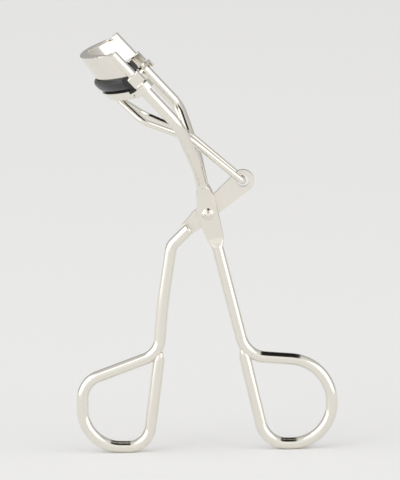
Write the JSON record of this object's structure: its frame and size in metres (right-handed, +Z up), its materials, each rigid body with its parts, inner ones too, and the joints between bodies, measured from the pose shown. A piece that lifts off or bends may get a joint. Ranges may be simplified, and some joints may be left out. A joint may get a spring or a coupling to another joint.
{
  "type": "eyelash curler",
  "caption": "Wire-handled eyelash curler: squeezing the finger loops slides a padded lower jaw up to a curved fixed jaw.",
  "frame": {"origin": "middle of the footprint at the two finger loops' lowest points", "axes": "+Z up through the jaws, +X towards the frame's finger loop, -Y towards the viewer, out of the front blade"},
  "size_m": [0.0638, 0.0342, 0.1011],
  "materials": {
    "bent_wire": "polished nickel plate",
    "jaw_sheet": "polished nickel plate",
    "lever_plate": "satin nickel plate",
    "rivet_steel": "polished nickel plate",
    "pad_rubber": "semi-gloss black"
  },
  "bodies": {
    "frame": {"frame_handle": "bent_wire", "far_guide_rod": "bent_wire", "upper_jaw": "jaw_sheet", "pivot_rivet": "rivet_steel"},
    "lever": {"lever_arm": "lever_plate", "lever_handle": "bent_wire"},
    "lower_jaw": {"lower_jaw_holder": "jaw_sheet", "lash_pad": "pad_rubber"},
    "yoke": {"yoke_wire": "bent_wire"}
  },
  "joints": [
    {"name": "lever_hinge", "type": "hinge", "parent": "frame", "child": "lever", "pos_m": [0.0011, 0, 0.05888], "axis": [0, -1, 0], "range_deg": [-32, 1]},
    {"name": "jaw_slide", "type": "slide", "parent": "frame", "child": "lower_jaw", "axis": [-0.6673, 0, 0.7448], "range_m": [-0.0063, 0.0003]},
    {"name": "yoke_rock", "type": "hinge", "parent": "lower_jaw", "child": "yoke", "pos_m": [-0.02105, 0, 0.08862], "axis": [0, -1, 0], "range_deg": [-2.4, 0.2]}
  ],
  "couplings": [
    {"joint": "jaw_slide", "follows": "lever_hinge", "m_per_rad": 0.01112},
    {"joint": "yoke_rock", "follows": "lever_hinge", "ratio": 0.0701}
  ]
}
